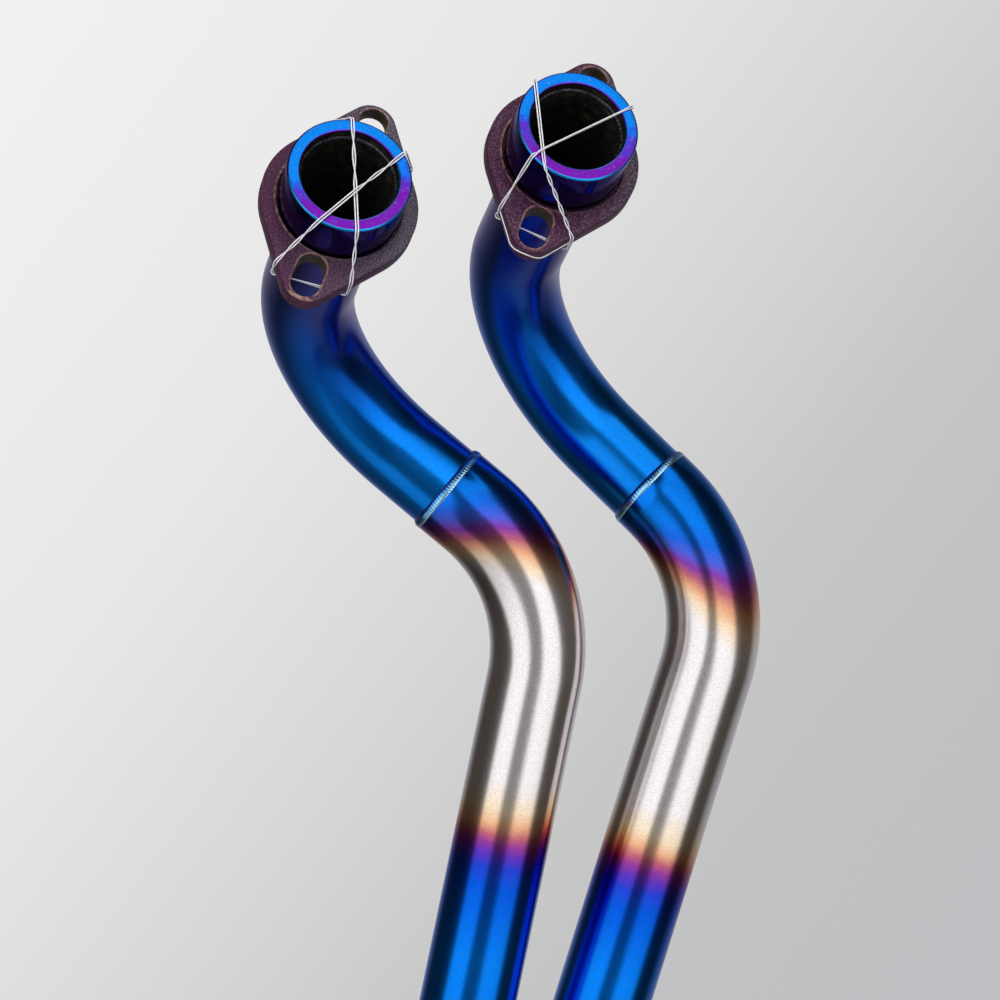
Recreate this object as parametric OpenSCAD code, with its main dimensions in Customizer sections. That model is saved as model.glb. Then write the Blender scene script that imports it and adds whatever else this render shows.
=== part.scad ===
// Twin exhaust header for a parallel-twin motorcycle: two runners from the cylinder
// head to a plain merge collector. Millimetres. The origin is the centre of flange A's
// front face, +Y runs away from the cylinder head, and +Z runs along the stud line.

/* [Mouth rings] */
// Wall of the ring that stands in the exhaust port, round the runner tube in its bore
ring_wall = 5.15; // [3:0.05:8]
// How far the ring's mouth stands in front of flange A
ring_proud = 21; // [16:0.5:28]
// Bevel on the two edges of the mouth
ring_bevel = 0.7; // [0.3:0.1:1.2]
// Step in radius where the ring enters the flange's recess
seat_step = 0.3; // [0.1:0.1:0.6]
// How far the tube's end is set back inside the mouth
tube_set_back = 5; // [3:0.5:8]

/* [Flanges] */
// Thickness of the loose oval flanges
flange_t = 7.5; // [6:0.5:10]
// Radius of the round middle
flange_r = 31; // [28:0.5:36]
// Radius of the two ears
ear_r = 9.8; // [8:0.1:12]
// Distance from the centre to an ear's centre
ear_at = 37; // [33:0.1:42]
// Centre distance of the two stud slots
stud_spacing = 71; // [64:0.5:78]
// Width of a stud slot
slot_w = 11.5; // [8:0.5:12]
// Length of a stud slot, end to end
slot_l = 19; // [12:0.5:20]
// Clearance all round between the flange and the tube
flange_gap = 0.7; // [0.4:0.1:1.5]
// Clearance all round between the ring and the recess it seats in
recess_gap = 0.5; // [0.3:0.1:1]
// Depth of that recess
recess_depth = 3.5; // [2:0.5:5]
// Bevel on the recess's front edge
recess_bevel = 0.5; // [0.2:0.1:1]
// How far flange B has slid back from its ring
slack_b = 3; // [0:0.5:3.2]

/* [Ports] */
// Centre distance of the two ports across the stud line
port_across = 74.4; // [60:0.1:90]
// Centre distance of the two ports along the stud line
port_along = 60.6; // [40:0.1:80]

/* [Runner tubes] */
// Outer diameter of the upper tubes
upper_od = 38.1; // [35:0.1:42]
// Wall thickness of upper and lower tubes
wall = 1.2; // [1:0.1:2]
// Clearance, in radius, of a lower tube slipped over the upper one
slip_gap = 0.05; // [0.05:0.01:0.2]
// How far an upper tube's end goes into the lower tube
lap_in = 6; // [4:0.5:6]
// Centre-line radius of the upper bends
upper_clr = 75; // [60:0.5:90]
// Centre-line radius of the lower bends
lower_clr = 74; // [60:0.5:90]
// Runner A: mouth to first bend
feed_a = 86; // [70:0.5:110]
// Runner A: direction of the first bend about the port axis
roll_a = -163.7; // [-180:0.1:180]
// Runner A: angle of the first bend
bend_a = 83.1; // [60:0.1:100]
// Runner A: first bend to the slip joint
joint_a = 24.7; // [15:0.1:40]
// Runner A: slip joint to second bend
lead_a = 14.3; // [6.2:0.1:40]
// Runner A: roll between the two bends
turn_a = 116.7; // [-180:0.1:180]
// Runner A: angle of the second bend
drop_a = 61.7; // [40:0.1:80]
// Runner A: second bend to the end of the tube
tail_a = 270; // [200:1:330]
// Runner B: mouth to first bend
feed_b = 97.8; // [70:0.1:120]
// Runner B: direction of the first bend about the port axis
roll_b = -155.7; // [-180:0.1:180]
// Runner B: angle of the first bend
bend_b = 88.7; // [60:0.1:100]
// Runner B: first bend to the slip joint
joint_b = 30.3; // [15:0.1:40]
// Runner B: slip joint to second bend
lead_b = 6.3; // [6.2:0.1:40]
// Runner B: roll between the two bends
turn_b = 118.3; // [-180:0.1:180]
// Runner B: angle of the second bend
drop_b = 62.9; // [40:0.1:80]

/* [Weld beads] */
// Leg of the bead round each slip joint
lap_leg = 3.2; // [2:0.1:4]
// Leg of the bead inside each mouth
mouth_leg = 1.4; // [0.8:0.1:2]
// Leg of the beads on the collector
collector_leg = 2.6; // [2:0.1:4]

/* [Collector] */
// Wall of the collector
collector_wall = 1.5; // [1.2:0.1:2.5]
// How far the runner tubes go into its sleeves
sleeve_l = 22; // [12:1:40]
// Length of the taper from the tube ends to the outlet
merge_l = 105; // [80:1:160]
// Outer diameter of the outlet tube
outlet_od = 50.8; // [44:0.1:60]
// Length of outlet tube that the silencer slips onto
outlet_l = 55; // [40:1:90]
// Length of the slimmer root that keeps the weld clear of that slip joint
root_l = 6; // [4:0.5:10]
// How much slimmer the root is, in radius
root_step = 0.6; // [0.4:0.1:0.8]

/* [Tie] */
// Thickness of the cord that lashes each flange on
cord_d = 1.3; // [0.8:0.1:2]

/* [Hidden] */
$fn = 96;
draw_in = 0.06;      // a mandrel bend comes out this much slimmer in radius
lap = 1.5;           // each straight runs this far into its bend
fit_gap = 0.1;       // slip fit of tube in tube, in radius
bead_gap = 0.02;     // each bead is modelled this far off the faces it is fused to
ring_back = recess_depth;                    // the ring's rear face, seated in flange A
ring_l = ring_proud + ring_back;
mouth_y = -ring_proud;
port_b = [port_across, 0, port_along];
upper_r = upper_od/2;
lower_r = upper_r + slip_gap + wall;
ring_bore = upper_od + 2*fit_gap;
ring_od = ring_bore + 2*ring_wall;
past_outlet = 12;    // the collector's bores run this far past its outlet

// Bend tables, as given to the tube bender: feed, roll, bend, centre-line radius
upper_a = [[feed_a - tube_set_back, roll_a, bend_a, upper_clr], [joint_a + lap_in, 0, 0, 1]];
lower_a = [[lead_a, turn_a, drop_a, lower_clr], [tail_a, 0, 0, 1]];
upper_b = [[feed_b - tube_set_back, roll_b, bend_b, upper_clr], [joint_b + lap_in, 0, 0, 1]];

// Placing along a bend table: a state is [3x3 orientation, point]
function spin_z(a) = [[cos(a), -sin(a), 0], [sin(a), cos(a), 0], [0, 0, 1]];
function spin_y(a) = [[cos(a), 0, sin(a)], [0, 1, 0], [-sin(a), 0, cos(a)]];
function fed(s, l) = [s[0], s[1] + s[0]*[0, 0, l]];
function rolled(s, a) = [s[0]*spin_z(a), s[1]];
function bent(s, a, r) = [s[0]*spin_y(-a), s[1] + s[0]*([-r, 0, 0] + spin_y(-a)*[r, 0, 0])];
function row(s, t) = bent(fed(rolled(s, t[1]), t[0]), t[2], t[3]);
facing = [[1, 0, 0], [0, 0, 1], [0, -1, 0]];     // local Z along +Y
start_a = [facing, [0, mouth_y + tube_set_back, 0]];
start_b = [facing, port_b + [0, mouth_y + tube_set_back, 0]];
lap_a = fed(row(start_a, upper_a[0]), joint_a);
lap_b = fed(row(start_b, upper_b[0]), joint_b);
drop_end_a = row(lap_a, lower_a[0]);
drop_end_b = row(lap_b, [lead_b, turn_b, drop_b, lower_clr]);
end_a = fed(drop_end_a, tail_a);

// The collector's axis halves the angle between the runners, and tube B is cut so
// that both tube ends stand level across that axis
dir_a = end_a[0]*[0, 0, 1];
dir_b = drop_end_b[0]*[0, 0, 1];
axis_c = (dir_a + dir_b)/norm(dir_a + dir_b);
tail_b = ((end_a[1] - drop_end_b[1])*axis_c)/(dir_b*axis_c);
lower_b = [[lead_b, turn_b, drop_b, lower_clr], [tail_b, 0, 0, 1]];
end_b = fed(drop_end_b, tail_b);
mid_end = (end_a[1] + end_b[1])/2;
outlet_at = mid_end + merge_l*axis_c;
across_c = (end_b[1] - end_a[1])/norm(end_b[1] - end_a[1]);
outlet = [transpose_of([across_c, cross(axis_c, across_c), axis_c]), outlet_at];
sleeve_r = lower_r + fit_gap + collector_wall;
outlet_r = outlet_od/2;

function transpose_of(m) = [for (i = [0:2]) [for (j = [0:2]) m[j][i]]];

// Each tie as a figure of eight: the angles at which its two strands cross the rim of
// the mouth, and the heights at which they pass the flange's flanks, right then left
tie_rim_a = [[108, -64], [-99, 48.5]];
tie_low_a = [-32.4, -36.2];
tie_high_a = [26, 26];
tie_rim_b = [[153.5, -105], [-120, 46]];
tie_low_b = [-34.2, -32.9];
tie_high_b = [29.4, 26.4];
cord_gap = 0.15;
cord_turn = 1.2;     // each corner of the cord is rounded off over this length
flank_sin = (flange_r - ear_r)/ear_at;       // the flank's lean to the stud line
flank_cos = sqrt(1 - flank_sin*flank_sin);

module at(s) {
  m = s[0]; p = s[1];
  multmatrix([[m[0][0], m[0][1], m[0][2], p[0]], [m[1][0], m[1][1], m[1][2], p[1]],
    [m[2][0], m[2][1], m[2][2], p[2]]]) children();
}

// Bent tube, one solid: straights lap into bends that are a hair slimmer
module straight(r, l, before, after) {
  translate([0, 0, -before]) difference() {
    cylinder(r = r, h = l + before + after);
    translate([0, 0, -1]) cylinder(r = r - wall, h = l + before + after + 2);
  }
}
module bend(r, a, clr) {
  translate([-clr, 0, 0]) rotate([90, 0, 0])
    rotate_extrude(angle = a) translate([clr, 0])
      difference() { circle(r = r - draw_in); circle(r = r - draw_in - wall); }
}
module tube(r, table, i = 0) {
  if (i < len(table)) {
    l = table[i][0]; a = table[i][2]; clr = table[i][3];
    rotate([0, 0, table[i][1]]) {
      straight(r, l, i > 0 ? lap : 0, a > 0 ? lap : 0);
      if (a > 0) translate([0, 0, l]) {
        bend(r, a, clr);
        translate([-clr, 0, 0]) rotate([0, -a, 0]) translate([clr, 0, 0]) tube(r, table, i + 1);
      }
    }
  }
}

// Fillet bead in the corner between a tube of radius r and a face above it
module bead(r, leg, rise) {
  rotate_extrude()
    polygon([[r + bead_gap, -bead_gap], [r + rise, -bead_gap], [r + rise*0.86, -leg*0.42],
      [r + rise*0.5, -leg*0.8], [r + bead_gap, -leg]]);
}

module mouth_ring() {
  rotate([-90, 0, 0]) translate([0, 0, -ring_proud]) rotate_extrude()
    polygon([[ring_bore/2, ring_bevel], [ring_bore/2 + ring_bevel, 0],
      [ring_od/2 - ring_bevel, 0], [ring_od/2, ring_bevel],
      [ring_od/2, ring_proud], [ring_od/2 - seat_step, ring_proud],
      [ring_od/2 - seat_step, ring_l - ring_bevel], [ring_od/2 - seat_step - ring_bevel, ring_l],
      [ring_bore/2, ring_l]]);
}

// Bead inside the mouth, on the tube's end and against the ring's bore
module mouth_bead() {
  r = ring_bore/2 - bead_gap;
  y = tube_set_back - bead_gap;
  rotate([-90, 0, 0]) translate([0, 0, mouth_y]) rotate_extrude()
    polygon([[r, y], [r, y - mouth_leg], [r - mouth_leg*0.55, y - mouth_leg*0.8],
      [r - mouth_leg*0.85, y - mouth_leg*0.4], [r - mouth_leg*0.95, y]]);
}

// Oval outline: a round middle, two ears and the straight flanks that touch both
module oval() {
  s = flank_sin;
  c = flank_cos;
  in = 0.02;
  circle(r = flange_r);
  for (k = [-1, 1]) translate([0, k*ear_at]) circle(r = ear_r);
  polygon([for (q = [[1, 1], [-1, 1], [-1, -1], [1, -1]], e = q[0]*q[1] > 0 ? [0, 1] : [1, 0])
    e == 0 ? [q[0]*c*(flange_r - in), q[1]*s*(flange_r - in)]
           : [q[0]*c*(ear_r - in), q[1]*(ear_at + s*(ear_r - in))]]);
}

module flange() {
  rotate([-90, 0, 0]) difference() {
    linear_extrude(flange_t) oval();
    translate([0, 0, -1]) cylinder(r = upper_r + flange_gap, h = flange_t + 2);
    translate([0, 0, -1]) cylinder(r = ring_od/2 + recess_gap, h = recess_depth + 1);
    translate([0, 0, -0.01]) cylinder(r1 = ring_od/2 + recess_gap + recess_bevel,
      r2 = ring_od/2 + recess_gap, h = recess_bevel);
    for (k = [-1, 1]) translate([0, k*stud_spacing/2, -1]) {
      for (e = [-1, 1]) translate([0, e*(slot_l - slot_w)/2, 0]) cylinder(d = slot_w, h = flange_t + 2);
      translate([-slot_w/2, -(slot_l - slot_w)/2, 0]) cube([slot_w, slot_l - slot_w, flange_t + 2]);
    }
  }
}

// One closed cord: over the mouth, round the flange's edge, behind each ear and back.
// Corners are rounded, and a hexagonal section is swept through them without a twist
function unit(v) = v/norm(v);
function cross_at(a, b, c, d) =
  let (u = b - a, v = d - c, w = c - a) a + u*((w[0]*v[1] - w[1]*v[0])/(u[0]*v[1] - u[1]*v[0]));
function rounded(path) = let (n = len(path)) [for (i = [0:n - 1])
  let (p = path[i], a = p + cord_turn*unit(path[(i + n - 1) % n] - p),
    b = p + cord_turn*unit(path[(i + 1) % n] - p))
  each [for (t = [0, 0.35, 0.65, 1]) (1 - t)*(1 - t)*a + 2*t*(1 - t)*p + t*t*b]];
function square_to(v, t) = unit(v - (v*t)*t);
module closed_cord(path, r, sides = 6) {
  n = len(path);
  along = [for (i = [0:n]) unit(unit(path[(i + 1) % n] - path[i % n])
    + unit(path[i % n] - path[(i + n - 1) % n]))];
  out = [for (i = 0, u = square_to([0.3, 0.5, 0.8], along[0]); i <= n;
    i = i + 1, u = square_to(u, along[min(i, n)])) u];
  off = atan2(cross(out[0], out[n])*along[0], out[0]*out[n]);
  points = [for (i = [0:n - 1]) let (u = out[i], v = cross(along[i], u))
    for (k = [0:sides - 1]) let (t = 360*k/sides - off*i/n) path[i] + r*(cos(t)*u + sin(t)*v)];
  faces = [for (i = [0:n - 1], k = [0:sides - 1])
    let (a = i*sides + k, b = i*sides + (k + 1) % sides,
      c = ((i + 1) % n)*sides + k, d = ((i + 1) % n)*sides + (k + 1) % sides)
    each [[a, c, b], [b, c, d]]];
  polyhedron(points, faces);
}
module tie(rim, low, high, back) {
  r = cord_d/2;
  front = back - r - cord_gap;
  behind = back + flange_t + r + cord_gap;
  on_rim = [for (q = rim) [for (t = q) (ring_od/2 + r*0.8)*[cos(t), sin(t)]]];
  x = cross_at(on_rim[0][0], on_rim[0][1], on_rim[1][0], on_rim[1][1]);
  over = mouth_y - r - cord_gap;
  flat = [[on_rim[0][0], over], [on_rim[0][1], over],
    [flank(1, low[0]), front], [flank(1, low[0]), behind], [flank(-1, low[1]), behind],
    [flank(-1, low[1]), front], [on_rim[1][0], over], [x, over - cord_d - cord_gap],
    [on_rim[1][1], over], [flank(1, high[0]), front], [flank(1, high[0]), behind],
    [flank(-1, high[1]), behind], [flank(-1, high[1]), front]];
  closed_cord(rounded([for (q = flat) [q[0][0], q[1], q[0][1]]]), r);
}
// Where the cord passes a flank at height z, clear of it
function flank(side, z) =
  [side*(flange_r + cord_d/2 + cord_gap - flank_sin*abs(z))/flank_cos, z];

// Y-shaped collector: a sleeve on each tube end, tapering into one outlet
module leg_outside(e) {
  v = outlet_at - e[1];
  at(e) translate([0, 0, -sleeve_l]) cylinder(r = sleeve_r, h = sleeve_l + 6);
  translate(e[1]) rotate([0, acos(v[2]/norm(v)), atan2(v[1], v[0])])
    cylinder(r1 = sleeve_r - 0.3, r2 = outlet_r, h = norm(v) + 6);
}
module leg_inside(e) {
  v = outlet_at - e[1];
  w = collector_wall;
  at(e) translate([0, 0, -sleeve_l - 1]) cylinder(r = lower_r + fit_gap, h = sleeve_l + 1.5);
  at(e) cylinder(r = lower_r - wall, h = 5.6);
  translate(e[1]) rotate([0, acos(v[2]/norm(v)), atan2(v[1], v[0])])
    cylinder(r1 = lower_r - wall, r2 = outlet_r - w, h = norm(v) + past_outlet);
}

module ring_a() color("royalblue") mouth_ring();
module mouth_weld_a() color("dimgray") mouth_bead();
module flange_a() color("saddlebrown") flange();
module upper_pipe_a() color("royalblue") at(start_a) tube(upper_r, upper_a);
module lap_weld_a() color("deepskyblue") at(lap_a) bead(upper_r, lap_leg, lower_r - upper_r);
module lower_pipe_a() color("silver") at(lap_a) tube(lower_r, lower_a);
module tie_a() color("white") tie(tie_rim_a, tie_low_a, tie_high_a, 0);
module ring_b() color("royalblue") translate(port_b) mouth_ring();
module mouth_weld_b() color("dimgray") translate(port_b) mouth_bead();
module flange_b() color("saddlebrown") translate(port_b + [0, slack_b, 0]) flange();
module upper_pipe_b() color("royalblue") at(start_b) tube(upper_r, upper_b);
module lap_weld_b() color("deepskyblue") at(lap_b) bead(upper_r, lap_leg, lower_r - upper_r);
module lower_pipe_b() color("silver") at(lap_b) tube(lower_r, lower_b);
module tie_b() color("white") translate(port_b) tie(tie_rim_b, tie_low_b, tie_high_b, slack_b);
module collector() color("royalblue") difference() {
  union() { leg_outside(end_a); leg_outside(end_b); }
  leg_inside(end_a);
  leg_inside(end_b);
  at(outlet) cylinder(r = 2*outlet_r, h = 2*past_outlet);
}
module collector_weld_a() color("deepskyblue") at(fed(end_a, -sleeve_l))
  bead(lower_r, collector_leg, collector_wall);
module collector_weld_b() color("deepskyblue") at(fed(end_b, -sleeve_l))
  bead(lower_r, collector_leg, collector_wall);
module outlet_tube() color("silver") at(outlet) difference() {
  union() {
    translate([0, 0, root_l]) cylinder(r = outlet_r, h = outlet_l);
    translate([0, 0, bead_gap]) cylinder(r = outlet_r - root_step, h = root_l);
  }
  translate([0, 0, -1]) cylinder(r = outlet_r - collector_wall, h = root_l + outlet_l + 2);
}
module outlet_weld() color("deepskyblue") at(outlet) rotate_extrude()
  polygon([[outlet_r - root_step + bead_gap, bead_gap], [outlet_r + 0.7, bead_gap],
    [outlet_r + 0.6, 1.4], [outlet_r + 0.1, 2.4], [outlet_r - root_step + bead_gap, 3]]);

ring_a();
mouth_weld_a();
flange_a();
upper_pipe_a();
lap_weld_a();
lower_pipe_a();
tie_a();
ring_b();
mouth_weld_b();
flange_b();
upper_pipe_b();
lap_weld_b();
lower_pipe_b();
tie_b();
collector();
collector_weld_a();
collector_weld_b();
outlet_tube();
outlet_weld();
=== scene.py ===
"""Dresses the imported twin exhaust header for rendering.

The runner tubes, mouth rings, flanges, weld beads and lashing cords are worked out as
numpy surfaces from the same bend tables as the CAD source, in metres and in the CAD
frame. The collector, its beads and the outlet keep their CAD meshes.
"""

import math

import bpy
import numpy as np
from bpy.props import (
    FloatProperty,
    FloatVectorProperty,
    IntProperty,
    PointerProperty,
)
from mathutils import Matrix, Vector
from mathutils.geometry import tessellate_polygon


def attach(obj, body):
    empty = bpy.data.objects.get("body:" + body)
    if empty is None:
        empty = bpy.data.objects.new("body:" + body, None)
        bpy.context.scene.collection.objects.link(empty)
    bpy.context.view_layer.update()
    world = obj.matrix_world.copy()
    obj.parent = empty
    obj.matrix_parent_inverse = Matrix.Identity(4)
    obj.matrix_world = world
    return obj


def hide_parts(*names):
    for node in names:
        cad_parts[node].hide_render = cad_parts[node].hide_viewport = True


bl_info = {
    "name": "Twin exhaust header",
    "version": (1, 0, 0),
    "blender": (4, 5, 0),
    "location": "View3D > Sidebar > Header",
    "description": "Builds the tubes, rings, flanges, beads and lashings of a twin exhaust header",
    "category": "Object",
}

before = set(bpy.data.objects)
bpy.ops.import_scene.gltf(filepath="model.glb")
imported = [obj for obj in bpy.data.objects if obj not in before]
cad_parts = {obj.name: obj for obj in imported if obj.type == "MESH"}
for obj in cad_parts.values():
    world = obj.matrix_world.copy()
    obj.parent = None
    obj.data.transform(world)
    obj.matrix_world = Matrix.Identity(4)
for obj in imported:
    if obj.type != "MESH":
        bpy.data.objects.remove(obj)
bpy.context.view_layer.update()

MM = 0.001
FACING = np.array([[1.0, 0, 0], [0, 0, 1], [0, -1, 0]])  # local Z along the port axis
PORTS = {"a": np.zeros(3), "b": np.array([0.0744, 0.0, 0.0606])}

# Feed, roll, bend and centre-line radius of each tube, in mm and degrees
BENDS = {
    "upper_a": [[81.0, -163.7, 83.1, 75.0], [30.7, 0, 0, 1]],
    "upper_b": [[92.8, -155.7, 88.7, 75.0], [36.3, 0, 0, 1]],
    "lower_a": [[14.3, 116.7, 61.7, 74.0], [270.0, 0, 0, 1]],
    "lower_b": [[6.3, 118.3, 62.9, 74.0], [291.381, 0, 0, 1]],
}
# How far an upper tube starts in front of its flange and goes into the lower one, in mm
TUBE_START, LAP_IN = 16.0, 6.0
# How far three rows that round off a tube's rim lie inside its radius, in shares of the round
RIM_ROUND = np.array([1.0, 0.293, 0.0])

# The collector's axis, towards its outlet
OUTLET_AXIS = (0.134764, 0.441604, -0.887031)

# Flange outline, slots, bore and the recess in which a ring sits, in mm
OVAL_R, EAR_R, EAR_AT = 31.0, 9.8, 37.0
SLOT_R, SLOT_HALF, SLOT_AT = 5.75, 3.75, 35.5
BORE_R, RECESS_R, RECESS_DEEP = 19.75, 24.8, 3.5
# How far each flange hangs back from its ring, in mm
HANG = {"a": 0.0, "b": 3.0}

# Lashing cords: rim angles of the two passes in degrees, then the heights in mm at
# which they go round the flange's flanks below and above, right flank first
LASHINGS = {
    "a": ([[108, -64], [-99, 48.5]], [-32.4, -36.2], [26.0, 26.0]),
    "b": ([[153.5, -105], [-120, 46]], [-34.2, -32.9], [29.4, 26.4]),
}
# Clearance of a cord from what it crosses, and length over which its corners are rounded
CORD_GAP, CORD_CORNER = 0.15, 1.2
# Twist of each lashing: half turns reached at each place, counted in path corners
TWISTS = {
    "a": ((0, 0.10, 0.62, 1.05, 1.95, 3.0, 3.9, 5.0, 5.92, 7.0, 7.85, 8.1, 9.0, 12.0, 13),
          (0, 0.0, 2.0, 2.0, 4.0, 4.2, 4.8, 6.0, 8.0, 8.0, 10.0, 10.0, 10.0, 13.0, 14)),
    "b": ((0, 0.10, 0.95, 1.05, 2.0, 3.0, 4.0, 5.0, 5.95, 6.4, 7.9, 8.1, 9.0, 12.0, 13),
          (0, 0.0, 0.1, 0.6, 5.0, 5.3, 5.9, 7.0, 8.0, 8.5, 8.5, 9.0, 11.0, 12.0, 14)),
}

# Mm of tube that make one unit of heat tint, on the upper and on the lower tubes
UPPER_TINT, LOWER_TINT = 240.0, 200.0
# First band's middle and swing in mm and far side in degrees, then the second's middle
HEAT_BANDS = {"a": (18.0, 20.0, 15.0, 162.0), "b": (26.0, 26.0, 45.0, 174.0)}


def length_of(name, description, default):
    """A length that a user would change, in metres."""
    return FloatProperty(name=name, description=description, default=default, unit="LENGTH", precision=5)


def colour_of(name, description, default):
    """A colour that a user would change."""
    return FloatVectorProperty(name=name, description=description, default=default, subtype="COLOR")


class HeaderSizes(bpy.types.PropertyGroup):
    """Sizes that a user would change."""

    upper_radius: length_of("Upper tube radius", "Outer radius of the upper tubes", 0.01905)
    lower_radius: length_of("Lower tube radius", "Outer radius of the lower tubes", 0.0203)
    wall: length_of("Wall", "Wall of the runner tubes", 0.0012)
    ring_radius: length_of("Ring radius", "Outer radius of the mouth rings", 0.0243)
    ring_bore: length_of("Ring bore", "Bore radius of the mouth rings", 0.01915)
    ring_proud: length_of("Ring stand-out", "How far a ring stands in front of its flange", 0.021)
    flange_thickness: length_of("Flange thickness", "Thickness of the loose flanges", 0.0075)
    bead_leg: length_of("Bead leg", "Leg of the bead round each slip joint", 0.0032)
    cord_width: length_of("Cord width", "Width of the lashing, over both strands", 0.0013)
    tube_sides: IntProperty(name="Tube sides", description="Faces round each tube", default=112, min=24)


class HeaderFinish(bpy.types.PropertyGroup):
    """Heat-tint colours, from the hottest end to bare metal, and the flanges' oxide."""

    azure: colour_of("Azure", "Bright blue tint", (0.006, 0.26, 0.95))
    navy: colour_of("Navy", "Deep blue tint of the upper tubes", (0.009, 0.085, 0.50))
    violet: colour_of("Violet", "Violet tint between blue and gold", (0.22, 0.045, 0.36))
    gold: colour_of("Gold", "Straw to gold tint", (0.76, 0.37, 0.21))
    silver: colour_of("Silver", "Bare satin steel", (0.85, 0.81, 0.82))
    scale_brown: colour_of("Oxide brown", "Matt oxide on the flanges", (0.080, 0.020, 0.058))


class StudioSettings(bpy.types.PropertyGroup):
    """The camera, the soft boxes and the fill light."""

    eye: FloatVectorProperty(
        name="Camera position", description="Where the camera stands",
        subtype="TRANSLATION", unit="LENGTH", default=(0.02468, -1.08586, -0.65082))
    right: FloatVectorProperty(
        name="Picture right", description="Direction of the picture's right side",
        subtype="DIRECTION", default=(0.92312, -0.22346, 0.31292))
    down: FloatVectorProperty(
        name="Picture down", description="Direction of the picture's lower side",
        subtype="DIRECTION", default=(0.37973, 0.40179, -0.83329))
    lens: FloatProperty(
        name="Lens", description="Focal length on a 36 mm sensor", default=117.42)
    box_level: FloatProperty(
        name="Soft box level", description="Radiance of the two soft boxes", default=1.05)
    fill_level: FloatProperty(
        name="Fill level", description="Strength of the fill light on matt surfaces", default=1.7)


# Surfaces worked out with numpy


def unit(v):
    """Each row of v at length 1."""
    return v / np.linalg.norm(v, axis=1)[:, None]


def circles(first, second, sides):
    """Unit circles, one for each row: cos a first + sin a second, with a once round."""
    a = np.linspace(0, 2 * math.pi, sides, endpoint=False)[:, None]
    return np.cos(a) * first[..., None, :] + np.sin(a) * second[..., None, :]


def turned(state, roll):
    """The state (3 by 3 frame, point) turned by roll degrees about its own line."""
    c, s = math.cos(math.radians(roll)), math.sin(math.radians(roll))
    return state[0] @ np.array([[c, -s, 0], [s, c, 0], [0, 0, 1]]), state[1]


def arc_frames(state, degrees, radius):
    """Frames and points along an arc, for an array of angles in degrees.

    The arc turns from the frame's third column towards minus its first. A point lies
    at frame times (radius cos t - radius, 0, radius sin t), and the frame turns with it.
    """
    t = np.radians(np.asarray(degrees, float))
    c, s, o, i = np.cos(t), np.sin(t), np.zeros_like(t), np.ones_like(t)
    spin = np.stack([np.stack([c, o, -s], -1), np.stack([o, i, o], -1),
                     np.stack([s, o, c], -1)], -2)
    place = np.stack([radius * c - radius, o, radius * s], -1)
    return state[0] @ spin, state[1] + place @ state[0].T


def runner(start, table, straight_step=8.0, bend_step=1.6):
    """Centre line of a bent tube, in mm: frames, points, arc lengths and the last state.

    For each row of the table the line is turned by the roll, runs straight for the
    feed, then follows an arc of the bend's angle and radius. Rows share no point.
    """
    state, frames, points, lengths, done = start, [], [], [], 0.0
    for feed, roll, angle, radius in table:
        state = turned(state, roll)
        along = np.linspace(0, feed, max(2, int(feed / straight_step) + 1))
        frames.append(np.repeat(state[0][None], len(along), 0))
        points.append(state[1] + along[:, None] * state[0][:, 2])
        lengths.append(done + along)
        state, done = (state[0], points[-1][-1]), done + feed
        if angle:
            steps = max(3, int(math.radians(angle) * radius / bend_step))
            sweep = np.linspace(0, angle, steps)[1:]
            f, p = arc_frames(state, sweep, radius)
            frames.append(f)
            points.append(p)
            lengths.append(done + np.radians(sweep) * radius)
            state, done = (f[-1], p[-1]), lengths[-1][-1]
    frames, points, lengths = (np.concatenate(x) for x in (frames, points, lengths))
    fresh = np.concatenate([[True], np.diff(lengths) > 1e-6])
    return frames[fresh], points[fresh], lengths[fresh], state


def start_state(side):
    """State at an upper tube's end inside its mouth ring."""
    return FACING, PORTS[side] / MM + np.array([0, -TUBE_START, 0])


def joint_state(side):
    """State at a runner's slip joint: the upper tube's end, drawn back by the lap."""
    state = runner(start_state(side), BENDS["upper_" + side])[3]
    return state[0], state[1] - LAP_IN * state[0][:, 2]


def tube_skin(start, table, radius, wall, sides, edge=0.25):
    """Points (rows, sides, 3), row arc lengths and inner-row mask of a bent tube.

    The rows run along the outside at the outer radius, round the far rim, back along
    the inside at radius less wall, and round the near rim, so the skin is closed. Each
    point is centre + radius (cos a first column + sin a second column).
    """
    frames, centres, lengths, _ = runner(start, table)
    last, bore = len(lengths) - 1, radius - wall
    fall = edge * RIM_ROUND
    rise, along, level = fall[::-1], np.arange(1, last), np.zeros(last - 1)
    pick = np.concatenate([[0] * 3, along, [last] * 6, along[::-1], [0] * 3])
    radii = np.concatenate([radius - fall, radius + level, radius - rise,
                            bore + fall, bore + level, bore + rise])
    shift = np.concatenate([rise, level, -fall, -rise, level, fall])
    f = frames[pick]
    centre = centres[pick] + shift[:, None] * f[:, :, 2]
    points = centre[:, None] + radii[:, None, None] * circles(f[:, :, 0], f[:, :, 1], sides)
    return points, lengths[pick] + shift, np.arange(len(pick)) >= last + 5


def lathe_skin(centre, axes, profile_r, profile_y, sides):
    """Points (rows, sides, 3) of a closed profile turned about the frame's third column.

    Radii and heights are one value a row or one a point. A point is centre + y third
    column + r (cos a first column + sin a second column).
    """
    r, y = (np.asarray(v, float).reshape(len(v), -1, 1) for v in (profile_r, profile_y))
    return centre + r * circles(axes[:, 0], axes[:, 1], sides) + y * axes[:, 2]


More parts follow.
